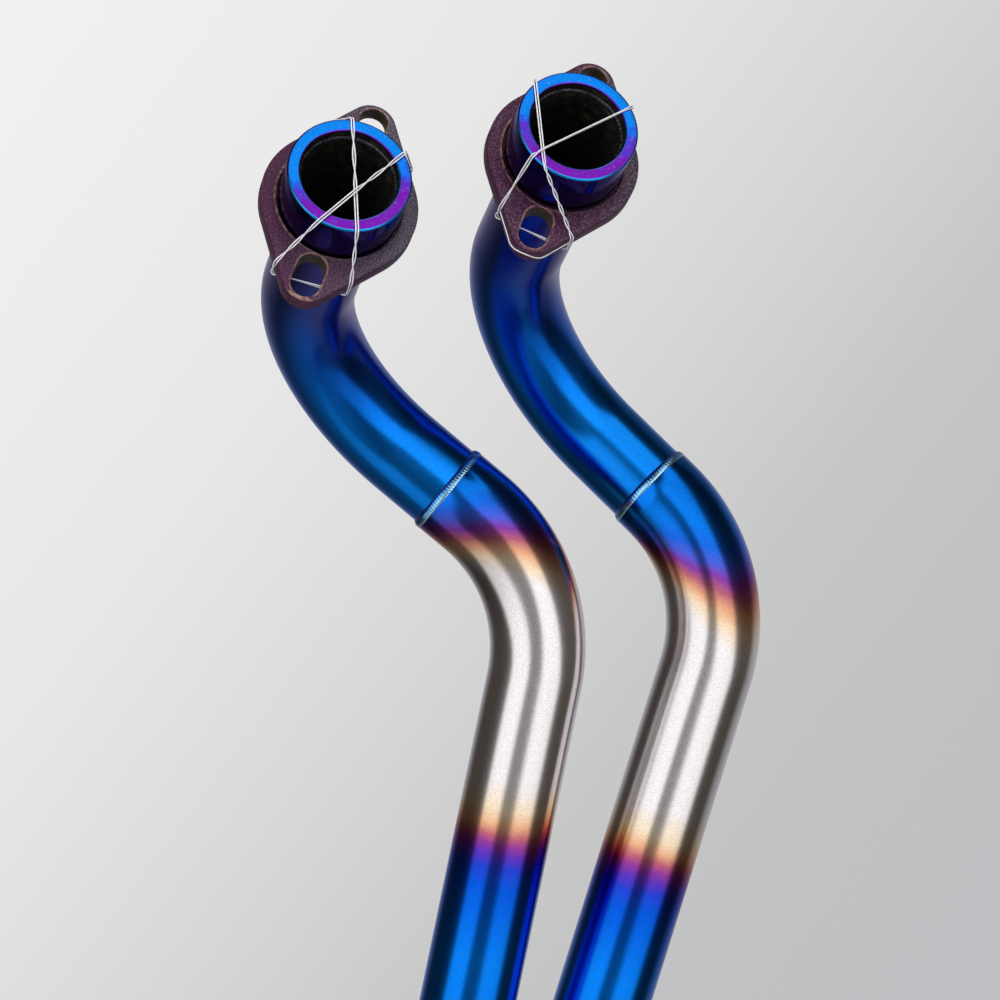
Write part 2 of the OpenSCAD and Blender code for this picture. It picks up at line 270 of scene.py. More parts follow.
def rounded_corners(corners, edge, steps):
    """A closed line with each corner replaced by a small round of points.

    A round is the curve (1 - t) squared a + 2 t (1 - t) corner + t squared b. Its ends
    a and b lie edge from the corner, or 0.45 of the shorter side where that is less.
    """
    c = np.asarray(corners, float)
    before, after = np.roll(c, 1, 0) - c, np.roll(c, -1, 0) - c
    shorter = np.minimum(np.linalg.norm(before, axis=1), np.linalg.norm(after, axis=1))
    e = np.minimum(edge, 0.45 * shorter)[:, None]
    a, b = c + unit(before) * e, c + unit(after) * e
    t = np.linspace(0, 1, steps)[None, :, None]
    rounds = (1 - t) ** 2 * a[:, None] + 2 * t * (1 - t) * c[:, None] + t ** 2 * b[:, None]
    return rounds.reshape(-1, c.shape[1])


def rippled_bead(state, corners, count, depth, chevron, sides_per_ripple=8, steps=5):
    """Skin of a weld bead: a rounded section turned round a tube, with crescent ripples.

    The section is moved outward from its own middle by depth times the ripple, which
    is a rising saw over count turns, delayed by chevron times the square of how far the
    point is from the crown of the section.
    """
    section = rounded_corners(corners, 0.8, steps)
    sides = count * sides_per_ripple
    a = np.linspace(0, 1, sides, endpoint=False)[None]
    out = unit(section - section.mean(0))
    span = np.ptp(section[:, 1]) / 2
    off = (section[:, 1:] - section[:, 1].mean()) / span
    phase = (a * count + chevron * off ** 2) % 1.0
    saw = np.where(phase < 0.8, phase / 0.8, (1 - phase) / 0.2)
    wander = 0.35 * np.sin(2 * math.pi * a * 7 + 1.0) + 0.25 * np.sin(2 * math.pi * a * 17)
    lift = depth * (saw - 0.5 + wander * 0.5)
    r = section[:, :1] + out[:, :1] * lift
    z = section[:, 1:] + out[:, 1:] * lift
    return lathe_skin(state[1], state[0], r, z, sides)


def flank_point(hand, z, clear):
    """Where a cord goes round a flank of the flange at height z, in mm, that far off it.

    The flank is the straight line that touches the round middle and the round ear, and
    hand is 1 for the right flank and -1 for the left.
    """
    lean = (OVAL_R - EAR_R) / EAR_AT
    return [hand * (OVAL_R + clear - lean * abs(z)) / math.sqrt(1 - lean * lean), z]


def even_path(points, step):
    """The same open line at even steps: points, and each one's place in the first list."""
    s = np.concatenate([[0], np.cumsum(np.linalg.norm(np.diff(points, axis=0), axis=1))])
    even = np.linspace(0, s[-1], int(s[-1] / step) + 1)
    place = np.interp(even, s, np.arange(len(points)))
    return np.stack([np.interp(even, s, points[:, k]) for k in range(3)], -1), place


def lashing_path(side, sizes, steps=7):
    """The closed line of one lashing, in mm: over the mouth, round the flange, behind each ear.

    The corners are those of the CAD source, each rounded off. Returns the points at even
    steps and each one's place counted in corners.
    """
    rim, low, high = LASHINGS[side]
    back, r = HANG[side], sizes.cord_width / MM / 2
    ring, mouth, thick = sizes.ring_radius / MM, -sizes.ring_proud / MM, sizes.flange_thickness / MM
    on = (ring + r * 0.8) * np.stack([np.cos(np.radians(rim)), np.sin(np.radians(rim))], -1)
    # Where the two passes over the mouth cross
    u, v, w = on[0, 1] - on[0, 0], on[1, 1] - on[1, 0], on[1, 0] - on[0, 0]
    cross = on[0, 0] + u * ((w[0] * v[1] - w[1] * v[0]) / (u[0] * v[1] - u[1] * v[0]))
    clear = r + CORD_GAP
    front, behind, over = back - clear, back + thick + clear, mouth - r - CORD_GAP
    around = [(flank_point(hand, z, clear), y) for hand, z, y in (
        (1, low[0], front), (1, low[0], behind), (-1, low[1], behind), (-1, low[1], front),
        (1, high[0], front), (1, high[0], behind), (-1, high[1], behind), (-1, high[1], front))]
    flat = [(on[0, 0], over), (on[0, 1], over), *around[:4], (on[1, 0], over),
            (cross, over - 2 * r - CORD_GAP), (on[1, 1], over), *around[4:]]
    corners = np.array([[p[0], y, p[1]] for p, y in flat]) + PORTS[side] / MM
    path = rounded_corners(corners, CORD_CORNER, steps)
    corner = (np.arange(len(corners))[:, None] + np.linspace(-0.02, 0.02, steps)).ravel()
    points, place = even_path(np.vstack([path, path[:1]]), 0.45)
    corner = np.interp(place, np.arange(len(path) + 1), np.append(corner, len(corners) - 0.02))
    return points[:-1], corner[:-1]


def strand_skins(path, side, half_turns, offset=0.50, radius=0.28, sides=8):
    """Skins of the two strands of a lashing, carried along its closed path.

    Each strand's centre is the path plus offset times (cos w, sin w) in the plane across
    it, with w half a turn for each half turn of the twist. The first direction lies flat
    on the mouth, square to the path and to the port's axis.
    """
    tangent = unit(np.roll(path, -1, 0) - np.roll(path, 1, 0))
    outward = path - PORTS[side] / MM
    outward[:, 1] = 0
    outward /= np.linalg.norm(outward, axis=1)[:, None] + 1e-9
    along_port = np.abs(tangent[:, 1:2])
    first = unit(np.cross(tangent, np.array([0, -1.0, 0]) * (1 - along_port) + outward * along_port))
    second = np.cross(first, tangent)
    w = math.pi * half_turns[:, None]
    circle = circles(first, second, sides)
    shift = offset * (np.cos(w) * first + np.sin(w) * second)
    return [path[:, None] + k * shift[:, None] + radius * circle for k in (1, -1)]


def ear_strand_skin(side, thick, radius=0.26, sides=8):
    """Skin of the single strand that passes round the end of a flange's lower ear.

    Its centre follows the flange's outline near mid thickness from one flank round the
    ear to the other, clear of it by a little more than its own radius. The skin is closed
    by returning inside itself.
    """
    low, clear = LASHINGS[side][1], radius + 0.12
    lean = math.asin((OVAL_R - EAR_R) / EAR_AT)
    a = np.linspace(-math.pi + lean, -lean, 26)
    ear = np.stack([(EAR_R + clear) * np.cos(a), -EAR_AT + (EAR_R + clear) * np.sin(a)], -1)
    line = np.vstack([flank_point(-1, low[1], clear), ear, flank_point(1, low[0], clear)])
    sag = 0.8 * np.sin(np.linspace(0, 3.0 * math.pi, len(line)))
    y = HANG[side] + thick * 0.45 + sag
    path = even_path(np.stack([line[:, 0], y, line[:, 1]], -1) + PORTS[side] / MM, 0.6)[0]
    tangent = unit(np.gradient(path, axis=0))
    first = unit(np.cross(tangent, np.array([0, 1.0, 0])))
    circle = circles(first, np.cross(first, tangent), sides)
    strand = path[:, None] + radius * circle
    return np.concatenate([strand, (path[:, None] + 0.25 * radius * circle)[::-1]])


# Meshes


def mesh_piece(name, points, faces, attributes=None, material_index=None, sharp=38):
    """An object with that mesh, in metres, smooth but for edges sharper than the angle."""
    mesh = bpy.data.meshes.new(name)
    mesh.from_pydata(np.asarray(points, float).reshape(-1, 3).tolist(), [], [list(f) for f in faces])
    mesh.polygons.foreach_set("use_smooth", np.ones(len(mesh.polygons), bool))
    if material_index is not None:
        mesh.polygons.foreach_set("material_index", np.asarray(material_index, np.int32))
    for key, values in (attributes or {}).items():
        layer = mesh.attributes.new(key, "FLOAT", "POINT")
        layer.data.foreach_set("value", np.asarray(values, np.float32).ravel())
    mesh.set_sharp_from_angle(angle=math.radians(sharp))
    mesh.update()
    obj = bpy.data.objects.new(name, mesh)
    bpy.context.scene.collection.objects.link(obj)
    return obj


def skin_faces(points):
    """Quads of a grid of points that wraps round both ways, wound to face outward.

    They are turned over where the volume that they enclose comes out below nought.
    """
    rows, sides = points.shape[:2]
    i, j = np.meshgrid(np.arange(rows), np.arange(sides), indexing="ij")
    a, b = i * sides + j, ((i + 1) % rows) * sides + j
    c, d = ((i + 1) % rows) * sides + (j + 1) % sides, i * sides + (j + 1) % sides
    quads = np.stack([a, b, c, d], -1).reshape(-1, 4)
    p = points.reshape(-1, 3)
    p = p - p.mean(0)
    first, second, third, fourth = (p[quads[:, k]] for k in range(4))
    volume = np.einsum("ij,ij->", first, np.cross(second, third) + np.cross(third, fourth))
    return quads if volume > 0 else quads[:, ::-1]


def skin_piece(name, points_mm, attributes=None, row_material=None, sharp=38):
    """A closed-skin object from grid points in mm."""
    quads = skin_faces(points_mm)
    index = None
    if row_material is not None:
        index = np.repeat(np.asarray(row_material, np.int32), points_mm.shape[1])
    return mesh_piece(name, points_mm * MM, quads, attributes, index, sharp)


def finish_piece(obj, slot, node, *finishes):
    """Gives the piece its finishes, hangs it on the root body and hides the CAD node that it stands for. The
    slot is not used.
    """
    for name in finishes:
        obj.data.materials.append(finish_named(name))
    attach(obj, "root")
    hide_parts(node)


# Materials


class NodeTree:
    """Helpers that lay nodes into one tree. A value is a number, a colour or an output."""

    def __init__(self, tree):
        self.nodes, self.links = tree.nodes, tree.links

    def new(self, kind):
        return self.nodes.new("ShaderNode" + kind)

    def put(self, socket, value):
        if isinstance(value, tuple):
            socket.default_value = (*value, 1.0)
        elif isinstance(value, (int, float)):
            socket.default_value = value
        else:
            self.links.new(value, socket)

    def ramp(self, factor, stops):
        """Colour that changes with the factor, from (place, colour or grey) stops."""
        n = self.new("ValToRGB")
        elements = n.color_ramp.elements
        while len(elements) < len(stops):
            elements.new(0.5)
        for element, (place, tone) in zip(elements, stops):
            element.position = place
            element.color = (*tone, 1.0) if isinstance(tone, tuple) else (tone, tone, tone, 1.0)
        self.put(n.inputs["Fac"], factor)
        return n.outputs["Color"]

    def span(self, value, low, high, to_low=0.0, to_high=1.0):
        """The value carried from one range to the other, and held at its ends."""
        n = self.new("MapRange")
        for key, v in zip(("From Min", "From Max", "To Min", "To Max"), (low, high, to_low, to_high)):
            n.inputs[key].default_value = v
        self.put(n.inputs["Value"], value)
        return n.outputs["Result"]

    def math(self, kind, *values):
        n = self.new("Math")
        n.operation = kind
        for socket, value in zip(n.inputs, values):
            self.put(socket, value)
        return n.outputs[0]

    def far(self, a, b):
        """Square root of a squared plus b squared."""
        squares = [self.math("POWER", v, 2.0) for v in (a, b)]
        return self.math("POWER", self.math("ADD", *squares), 0.5)

    def mix(self, factor, a, b, kind="MIX"):
        n = self.new("Mix")
        n.data_type, n.blend_type = "RGBA", kind
        for socket, value in ((n.inputs[0], factor), (n.inputs[6], a), (n.inputs[7], b)):
            self.put(socket, value)
        return n.outputs[2]


class Shader(NodeTree):
    """Helpers for one material, whose patterns read Object coordinates."""

    def __init__(self, name):
        self.material = bpy.data.materials.new(name)
        self.material.use_nodes = True
        super().__init__(self.material.node_tree)
        self.bsdf = self.nodes["Principled BSDF"]
        self.coords = self.new("TexCoord").outputs["Object"]

    def set(self, **values):
        for key, value in values.items():
            name = key.replace("_", " ").title().replace("Ior", "IOR")
            self.put(self.bsdf.inputs[name], value)
        return self

    def noise(self, scale, detail=3.0, rough=0.55):
        n = self.new("TexNoise")
        for key, value in (("Scale", scale), ("Detail", detail), ("Roughness", rough)):
            self.put(n.inputs[key], value)
        self.put(n.inputs["Vector"], self.coords)
        return n.outputs["Fac"]

    def attribute(self, name):
        n = self.new("Attribute")
        n.attribute_name = name
        return n.outputs["Fac"]

    def link(self, output, key):
        self.links.new(output, self.bsdf.inputs[key])
        return self

    def bump(self, height, distance, strength):
        n = self.new("Bump")
        for key, value in (("Distance", distance), ("Strength", strength), ("Height", height)):
            self.put(n.inputs[key], value)
        return self.link(n.outputs["Normal"], "Normal")


def satin(shader, rough, spread=0.03):
    """Satin grain: fine noise in the colour and the roughness, and a very shallow bump."""
    grain = shader.noise(2600.0, 2.0, 0.6)
    plain = shader.bsdf.inputs["Base Color"].links[0].from_socket
    shader.link(shader.mix(1.0, plain, shader.span(grain, 0.3, 0.7, 0.74, 1.14), "MULTIPLY"), "Base Color")
    shader.link(shader.span(grain, 0.3, 0.7, rough - spread, rough + spread), "Roughness")
    shader.bump(grain, 0.000012, 0.2)
    return shader


def tint_stops(finish, marks):
    """Ramp stops of a heat tint over the attribute, from (place, colour or its name) marks."""
    return [(place, tuple(getattr(finish, tone)) if isinstance(tone, str) else tone)
            for place, tone in marks]


def upper_tube_material(finish):
    """Violet navy near the mouth, then royal blue and azure towards the slip joint."""
    s = Shader("Heat_blue_upper").set(metallic=1.0, specular_tint=(0.95, 0.92, 1.0))
    cloud = s.noise(26.0, 3.0)
    place = s.math("ADD", s.attribute("tint"), s.span(cloud, 0.3, 0.7, -0.025, 0.025))
    base = s.ramp(place, tint_stops(finish, [
        (0.22, (0.075, 0.045, 0.24)), (0.36, (0.050, 0.050, 0.30)), (0.47, (0.022, 0.060, 0.38)),
        (0.56, "navy"), (0.64, (0.005, 0.13, 0.66)), (0.74, (0.004, 0.19, 0.82)), (0.88, "azure")]))
    s.link(base, "Base Color")
    return satin(s, 0.22).material


def lower_tube_material(finish):
    """The lower tubes: blue, violet, gold, bare steel, gold, violet and blue again."""
    s = Shader("Heat_tint_lower").set(metallic=1.0, specular_tint=(0.97, 0.95, 1.0))
    cloud = s.noise(70.0, 3.0)
    place = s.math("ADD", s.attribute("tint"), s.span(cloud, 0.3, 0.7, -0.006, 0.006))
    base = s.ramp(place, tint_stops(finish, [
        (0.13, (0.004, 0.19, 0.80)), (0.185, (0.012, 0.13, 0.72)), (0.222, (0.070, 0.11, 0.66)),
        (0.25, "violet"), (0.28, (0.44, 0.115, 0.17)), (0.31, "gold"), (0.34, (0.87, 0.66, 0.46)),
        (0.39, "silver"), (0.62, "silver"), (0.68, (0.87, 0.71, 0.52)), (0.71, (0.80, 0.42, 0.24)),
        (0.735, (0.50, 0.12, 0.17)), (0.752, (0.30, 0.045, 0.30)), (0.775, (0.11, 0.035, 0.46)),
        (0.80, (0.02, 0.05, 0.60)), (0.84, (0.003, 0.09, 0.68)), (1.0, (0.003, 0.20, 0.84))]))
    s.link(base, "Base Color")
    return satin(s, 0.20).material


def ring_material(finish):
    """Bright azure ring face, violet low down, with scratches and a violet to cyan rim. The cyan on the rim's
    rounded edges lower down is a painted highlight.
    """
    s = Shader("Heat_ring").set(metallic=1.0, specular_tint=(0.85, 0.80, 1.0))
    patch = s.span(s.noise(170.0, 4.0, 0.6), 0.3, 0.7, -0.26, 0.26)
    low = s.math("ADD", s.attribute("low"), patch)
    scratch = s.ramp(s.noise(620.0, 5.0, 0.72), [(0.58, (0, 0, 0)), (0.72, (1, 1, 1))])
    face = s.ramp(low, [(0.26, tuple(finish.azure)), (0.44, (0.02, 0.13, 0.86)), (0.62, (0.10, 0.045, 0.66)),
                        (0.92, (0.21, 0.016, 0.50))])
    face = s.mix(s.math("MULTIPLY", scratch, 0.45), face, (0.30, 0.60, 1.0))
    # Painted highlight: the rounded rim turns from violet above to bright cyan lower down
    rim = s.ramp(s.attribute("low"), [(0.25, (0.16, 0.03, 0.60)), (0.45, (0.012, 0.42, 1.0))])
    s.link(s.mix(s.attribute("rim"), face, rim), "Base Color")
    return satin(s, 0.24).material


def ring_side_material(finish):
    """Dark violet-navy side of a ring, glossier than its face."""
    s = Shader("Heat_ring_side").set(metallic=1.0, specular_tint=(0.8, 0.75, 1.0))
    base = s.ramp(s.math("ADD", s.attribute("low"), s.span(s.noise(30.0, 3.0), 0.3, 0.7, -0.15, 0.15)),
                  [(0.1, (0.030, 0.012, 0.10)), (0.6, (0.045, 0.012, 0.15)), (1.0, (0.022, 0.010, 0.17))])
    s.link(base, "Base Color")
    return satin(s, 0.15, 0.02).material


def bore_material(finish):
    """Near-black soot inside the runners, with a few brown specks."""
    s = Shader("Sooty_bore").set(metallic=0.6)
    base = s.ramp(s.noise(240.0, 5.0, 0.65), [(0.35, (0.008, 0.010, 0.010)), (0.56, (0.028, 0.028, 0.022)),
                                               (0.72, (0.13, 0.090, 0.050))])
    s.link(base, "Base Color")
    return satin(s, 0.55, 0.08).material


def flange_material(finish):
    """Speckled purple-brown oxide, greyer to the right, with coppery edges that are partly worn and partly a
    painted highlight.

    The attributes across and along are the place on the plate, in mm from its middle,
    depth is how far behind its front, grey is the share of grey, and rubbed is 1 on the
    plate whose lower ear's end is bare. The recess's lip lies near its radius from the
    middle. A slot's lip lies near its radius from the nearest point of the line down the
    slot's middle.
    """
    s = Shader("Oxidised_flange").set(metallic=0.35, specular_tint=(0.9, 0.8, 0.9))
    speck = s.noise(1500.0, 3.0, 0.75)
    cloud = s.noise(55.0, 4.0, 0.6)
    brown = s.ramp(speck, [(0.36, tuple(c * 0.45 for c in finish.scale_brown)),
                           (0.49, tuple(finish.scale_brown)),
                           (0.60, (0.14, 0.055, 0.11)), (0.72, (0.34, 0.20, 0.27))])
    grey = s.ramp(speck, [(0.36, (0.035, 0.030, 0.045)), (0.49, (0.095, 0.080, 0.105)),
                          (0.60, (0.22, 0.19, 0.24)), (0.72, (0.55, 0.50, 0.56))])
    share = s.math("ADD", s.attribute("grey"), s.span(cloud, 0.3, 0.7, -0.25, 0.25))
    tone = s.mix(s.span(share, 0.0, 1.0), brown, grey)
    across, along, depth = (s.attribute(key) for key in ("across", "along", "depth"))
    off_recess = s.math("SUBTRACT", s.far(across, along), RECESS_R + 0.6)
    down_slot = s.math("SUBTRACT", s.math("ABSOLUTE", along), SLOT_AT)
    beyond = s.math("MAXIMUM", s.math("SUBTRACT", s.math("ABSOLUTE", down_slot), SLOT_HALF), 0.0)
    off_slot = s.math("SUBTRACT", s.far(across, beyond), SLOT_R)
    front = s.span(depth, 0.3, 0.9, 1.0, 0.0)
    # The coppery lips of the recess and the slots are partly worn and partly a painted highlight; the
    # recess's lip is strongest on the side of negative across
    recess_lip = s.math("MULTIPLY", s.span(s.math("ABSOLUTE", off_recess), 0.1, 0.8, 1.0, 0.0),
                        s.span(across, -20.0, 15.0, 1.0, 0.15))
    slot_lip = s.span(s.math("ABSOLUTE", s.math("SUBTRACT", off_slot, 0.35)), 0.1, 0.6, 0.8, 0.0)
    ear_end = s.math("MULTIPLY", s.span(along, -44.5, -45.3), s.attribute("rubbed"))
    lips = s.math("MULTIPLY", s.math("MAXIMUM", s.math("MAXIMUM", recess_lip, slot_lip), ear_end), front)
    wall = s.math("MULTIPLY", s.span(off_slot, 0.2, 0.5, 1.0, 0.0), s.span(depth, 0.2, 0.6))
    tone = s.mix(wall, tone, (0.060, 0.045, 0.022))
    patchy = s.ramp(s.noise(420.0, 4.0, 0.7), [(0.38, (0, 0, 0)), (0.60, (1, 1, 1))])
    s.link(s.mix(s.math("MULTIPLY", lips, patchy), tone, (0.48, 0.30, 0.22)), "Base Color")
    s.link(s.span(speck, 0.3, 0.7, 0.40, 0.58), "Roughness")
    return s.bump(speck, 0.00006, 0.5).material


def bead_material(finish):
    """Pale azure weld bead: cyan-white at its lower tube, violet at the upper one. The cyan-white along its
    crown is a painted highlight over the bead's blue.
    """
    s = Shader("Weld_bead").set(metallic=1.0, specular_tint=(0.95, 0.95, 1.0))
    across = s.math("ADD", s.attribute("across"), s.span(s.noise(240.0, 3.0), 0.3, 0.7, -0.06, 0.06))
    # The first stops paint a cyan-white highlight along the crown, over the bead's light blue
    base = s.ramp(across, [(0.0, (0.60, 0.88, 1.0)), (0.30, (0.26, 0.66, 1.0)), (0.66, (0.08, 0.40, 0.95)),
                           (0.86, (0.07, 0.16, 0.80)), (1.0, (0.24, 0.04, 0.58))])
    s.link(base, "Base Color")
    return satin(s, 0.24).material


def mouth_bead_material(finish):
    """Dark grey bead inside a mouth."""
    s = Shader("Mouth_bead").set(metallic=0.9)
    base = s.ramp(s.noise(500.0, 3.0), [(0.35, (0.02, 0.022, 0.03)), (0.7, (0.10, 0.10, 0.12))])
    s.link(base, "Base Color")
    return satin(s, 0.4, 0.08).material


def cord_material(finish):
    """Clear white lashing cord."""
    s = Shader("White_cord").set(metallic=0.0, coat_weight=0.3, IOR=1.48)
    base = s.ramp(s.noise(300.0, 2.0), [(0.3, (0.84, 0.84, 0.90)), (0.7, (0.97, 0.97, 1.0))])
    s.link(base, "Base Color")
    s.link(s.span(s.noise(400.0), 0.3, 0.7, 0.15, 0.35), "Roughness")
    return s.material


def collector_material(finish):
    """Collector: violet and gold tint round its sleeves that fades to bare steel below."""
    s = Shader("Collector_tint").set(metallic=1.0, specular_tint=(0.85, 0.78, 0.95))
    split = s.new("SeparateXYZ")
    s.put(split.inputs[0], s.coords)
    # Distance from the frame's origin along the collector's own axis, in metres
    x, y, z = (s.math("MULTIPLY", split.outputs[key], v) for key, v in zip("XYZ", OUTLET_AXIS))
    along = s.math("ADD", x, s.math("ADD", y, z))
    wavy = s.math("ADD", along, s.span(s.noise(25.0), 0.3, 0.7, -0.004, 0.004))
    place = s.span(wavy, 0.40, 0.60)
    base = s.ramp(place, tint_stops(finish, [
        (0.0, "azure"), (0.18, (0.02, 0.14, 0.72)), (0.26, "violet"), (0.32, (0.55, 0.16, 0.20)),
        (0.38, "gold"), (0.46, (0.83, 0.66, 0.46)), (0.55, "silver"), (1.0, "silver")]))
    s.link(base, "Base Color")
    return satin(s, 0.28, 0.06).material


# Every maker is given the finish colours, also one that doesn't need them
MAKERS = {
    "upper": upper_tube_material, "lower": lower_tube_material, "ring": ring_material,
    "ring_side": ring_side_material, "bore": bore_material, "flange": flange_material,
    "bead": bead_material, "mouth_bead": mouth_bead_material, "cord": cord_material,
    "collector": collector_material,
}
_made = {}


def finish_named(name):
    """The material of that name, made once."""
    if name not in _made:
        _made[name] = MAKERS[name](bpy.context.scene.header_finish)
    return _made[name]


# Operators


class HEADER_OT_studio(bpy.types.Operator):
    """Camera, fill light, and a world with the pale backdrop and two tall soft boxes"""

    bl_idname = "header.studio"
    bl_label = "Set up the studio"

    def execute(self, context):
        st = context.scene.studio_settings
        right, down = np.array(st.right), np.array(st.down)
        right /= np.linalg.norm(right)
        down -= right * (down @ right)
        down /= np.linalg.norm(down)
        ahead = np.cross(right, down)
        data = bpy.data.cameras.new("Picture_camera")
        data.sensor_fit, data.sensor_width, data.lens = "HORIZONTAL", 36.0, st.lens
        data.clip_start, data.clip_end = 0.05, 20.0
        cam = bpy.data.objects.new("Picture_camera", data)
        turn = np.stack([right, -down, -ahead], 1)
        cam.matrix_world = Matrix.Translation(Vector(st.eye)) @ Matrix(turn.tolist()).to_4x4()
        context.scene.collection.objects.link(cam)
        context.scene.camera = cam
        context.scene.view_settings.view_transform = "Standard"
        self.fill(context, st.fill_level, ahead + 0.35 * right + 0.55 * down)
        self.room(context, st.box_level, right, down, ahead)
        return {"FINISHED"}

    def fill(self, context, level, travel):
        """A broad soft light from above the camera that only matt surfaces pick up."""
        data = bpy.data.lights.new("Fill_light", "SUN")
        data.energy, data.angle = level, math.radians(70)
        lamp = bpy.data.objects.new("Fill_light", data)
        lamp.rotation_mode = "QUATERNION"
        lamp.rotation_quaternion = Vector(travel).to_track_quat("-Z", "Y")
        lamp.visible_glossy = lamp.visible_camera = lamp.visible_transmission = False
        context.scene.collection.objects.link(lamp)

    def room(self, context, level, right, down, ahead):
        """The pale backdrop that the camera sees, and the studio that lights the object.

        The studio is a function of two angles seen from the object: round, 0 towards the
        camera and growing to the right, and up. Each soft box is its level at that height
        times a soft-edged band round its middle, and the unlit room is added to both.
        """
        world = bpy.data.worlds.new("Studio")
        context.scene.world = world
        world.use_nodes = True
        t = NodeTree(world.node_tree)
        t.nodes.clear()
        way = t.new("TexCoord").outputs["Generated"]

        def along(vector):
            n = t.new("VectorMath")
            n.operation = "DOT_PRODUCT"
            n.inputs[1].default_value = vector
            t.put(n.inputs[0], way)
            return n.outputs["Value"]

        def table(value, low, high, stops):
            """Colour that changes with the value, from (value, colour or grey) stops."""
            return t.ramp(t.span(value, low, high), [((at - low) / (high - low), tone) for at, tone in stops])

        def box(share, levels):
            """Light of one soft box, whose middle is a share of the way round from -180 degrees."""
            off = t.math("ABSOLUTE", t.math("SUBTRACT", turn, t.math("MULTIPLY_ADD", share, 360.0, -180.0)))
            half, soft = 22.5, 9.0
            edge = t.span(off, half - soft / 2, half + soft / 2, 1.0, 0.0)
            edge.node.interpolation_type = "SMOOTHSTEP"
            return t.mix(1.0, table(up, -90, 90, levels), edge, "MULTIPLY")

        def lamp(tone):
            n = t.new("Background")
            t.put(n.inputs["Color"], tone)
            return n

        across, rise, near = along(right), along(-down), along(-ahead)
        turn = t.math("MULTIPLY", t.math("ARCTAN2", across, near), 180 / math.pi)
        up = t.math("MULTIPLY", t.math("ARCSINE", rise), 180 / math.pi)
        # Middles of the left and right boxes at each height, as shares of the way round
        middles = table(up, -90, 90, [
            (-90, (0.317, 0.68, 0)), (-45, (0.342, 0.661, 0)), (-31, (0.342, 0.628, 0)),
            (-17, (0.360, 0.612, 0)), (-3, (0.388, 0.592, 0)), (11, (0.397, 0.567, 0)),
            (25, (0.397, 0.551, 0)), (38, (0.40, 0.57, 0)), (48, (0.40, 0.598, 0)), (90, (0.40, 0.60, 0))])
        split = t.new("SeparateColor")
        t.put(split.inputs[0], middles)
        left = box(split.outputs[0], [(-90, 0.10), (-60, 0.20), (-45, 0.45), (-28, 0.66), (-14, 0.95),
                                      (24, 1.0), (36, 0.0)])
        right_box = box(split.outputs[1], [(-90, 0.0), (-62, 0.20), (-48, 0.50), (-33, 0.66), (-18, 0.95),
                                           (25, 1.0), (36, 0.85), (44, 1.0), (90, 1.0)])
        boxes = t.mix(1.0, left, right_box, "ADD")
        warm = np.array([1.0, 0.86, 0.74])
        warm_06, warm_09, warm_10 = (tuple(share * warm) for share in (0.06, 0.09, 0.10))
        unlit = table(turn, -180, 180, [
            (-180, 0.48), (-162, 0.44), (-148, 0.28), (-136, 0.14), (-127, warm_06), (-85, warm_06),
            (-66, 0.10), (-16, 0.24), (10, 0.26), (58, 0.14), (76, warm_10), (106, warm_09), (122, 0.36),
            (145, 0.44), (170, 0.46), (180, 0.48)])
        fade = table(up, -90, 90, [(-90, 0.3), (-45, 0.45), (-25, 0.5), (-8, 1.0), (12, 1.0), (32, 0.3),
                                   (90, 0.25)])
        below = table(up, -90, 90, [(-90, 0.20), (-70, 0.22), (-50, 0.10), (-35, 0.0)])
        dim = t.mix(1.0, t.mix(1.0, unlit, fade, "MULTIPLY"), below, "ADD")
        room = lamp(t.mix(1.0, dim, boxes, "ADD"))
        room.inputs["Strength"].default_value = level
        diagonal = (right + 0.75 * down) / math.hypot(1, 0.75)
        seen = lamp(table(along(diagonal), -0.19, 0.19, [
            (-0.19, 0.871), (-0.076, 0.80), (0.008, 0.68), (0.076, (0.57, 0.57, 0.575)),
            (0.133, (0.53, 0.535, 0.545)), (0.19, (0.515, 0.525, 0.54))]))
        path = t.new("LightPath")
        direct = t.math("MAXIMUM", path.outputs["Is Camera Ray"], path.outputs["Is Transmission Ray"])
        mix = t.new("MixShader")
        for socket, value in zip(mix.inputs, (direct, room.outputs[0], seen.outputs[0])):
            t.put(socket, value)
        t.put(t.new("OutputWorld").inputs["Surface"], mix.outputs[0])


class HEADER_OT_runner_tubes(bpy.types.Operator):
    """The two upper and two lower tubes, with heat tint along their length"""

    bl_idname = "header.runner_tubes"
    bl_label = "Build the runner tubes"

    def execute(self, context):
        sizes = context.scene.header_sizes
        sides, wall = sizes.tube_sides, sizes.wall / MM
        a = np.linspace(0, 2 * math.pi, sides, endpoint=False)
        bluer = 0.20 * np.clip(np.cos(a + math.radians(105)), 0, 1) ** 3
        for side in PORTS:
            name = side.upper()
            points, s, inner = tube_skin(start_state(side), BENDS["upper_" + side],
                                         sizes.upper_radius / MM, wall, sides)
            tint = (s / UPPER_TINT)[:, None] + bluer
            obj = skin_piece("Upper_tube_" + name, points, {"tint": tint}, inner.astype(int))
            finish_piece(obj, "upper_tube", "upper_pipe_" + side, "upper", "bore")
            points, s, inner = tube_skin(joint_state(side), BENDS["lower_" + side],
                                         sizes.lower_radius / MM, wall, sides)
            tint = self.heat_bands(side, s[:, None], a)
            obj = skin_piece("Lower_tube_" + name, points, {"tint": tint}, inner.astype(int))
            finish_piece(obj, "lower_tube", "lower_pipe_" + side, "lower", "bore")
        return {"FINISHED"}

    def heat_bands(self, side, s, a):
        """Where each point lies in the heat tint, over the arc length s and the angle a round.

        0.25 is the violet of the first band, which slants: it lies at its middle plus its
        swing times the cosine of the angle from its far side. 0.75 is the violet of the
        second band, which runs square round the tube.
        """
        middle, swing, far_side, second = HEAT_BANDS[side]
        first = s - middle - swing * np.cos(a - math.radians(far_side))
        return np.where(s > second - 45, 0.75 + (s - second) / LOWER_TINT,
                        0.25 + np.minimum(first, 45.0) / LOWER_TINT)


